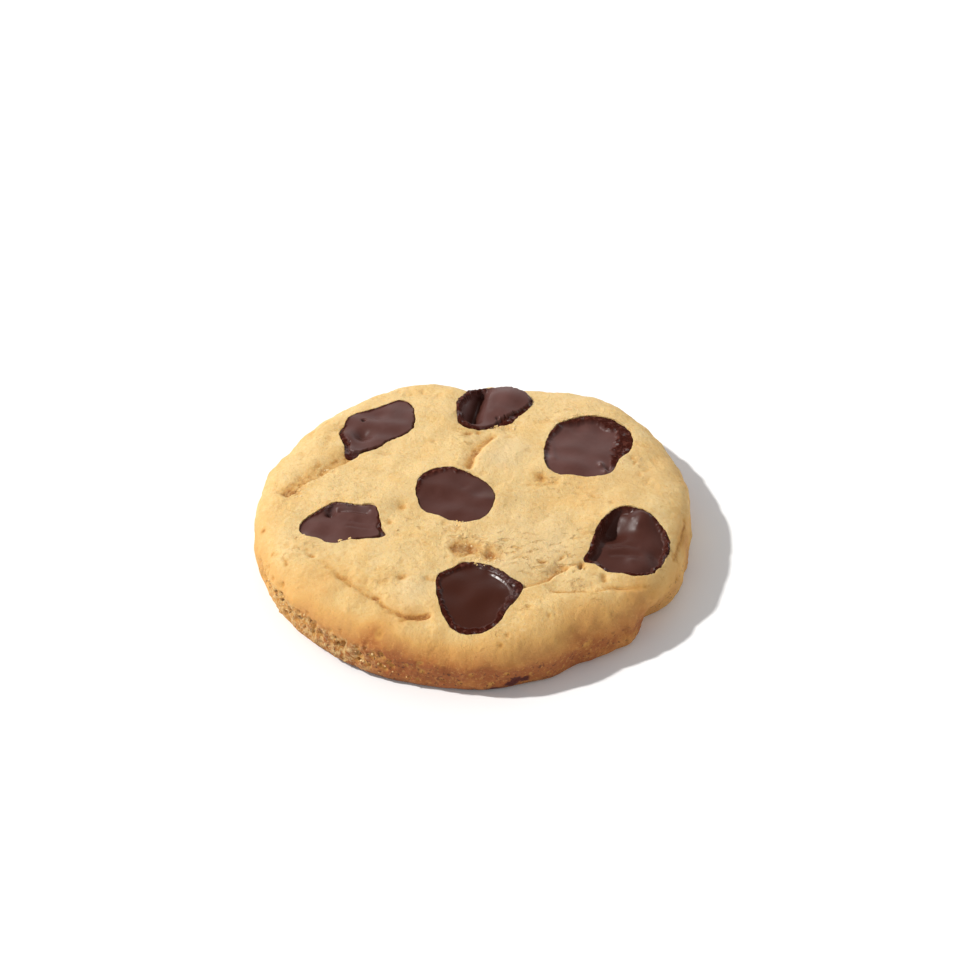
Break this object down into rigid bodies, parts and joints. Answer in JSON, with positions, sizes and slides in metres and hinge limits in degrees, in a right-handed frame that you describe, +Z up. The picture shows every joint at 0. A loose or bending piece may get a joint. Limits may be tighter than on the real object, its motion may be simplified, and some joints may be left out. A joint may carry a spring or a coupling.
{
  "type": "chocolate cookie",
  "caption": "Round baked cookie with a domed, cracked top and irregular dark chocolate chunks set in pockets in it.",
  "frame": {"origin": "middle of the biscuit's bounding box in plan, on the flat underside that it rests on", "axes": "+Z up through the top, -Y towards the front of the pictured view, +X to its right"},
  "size_m": [0.0755, 0.0725, 0.0127],
  "materials": {
    "dough": "matt baked dough, golden with a browner edge",
    "chocolate": "satin dark chocolate, partly melted and set again"
  },
  "bodies": {
    "root": {"biscuit": "dough", "chocolate_back_left": "chocolate", "chocolate_back_middle": "chocolate", "chocolate_back_right": "chocolate", "chocolate_middle": "chocolate", "chocolate_left": "chocolate", "chocolate_right": "chocolate", "chocolate_front": "chocolate"}
  },
  "joints": []
}
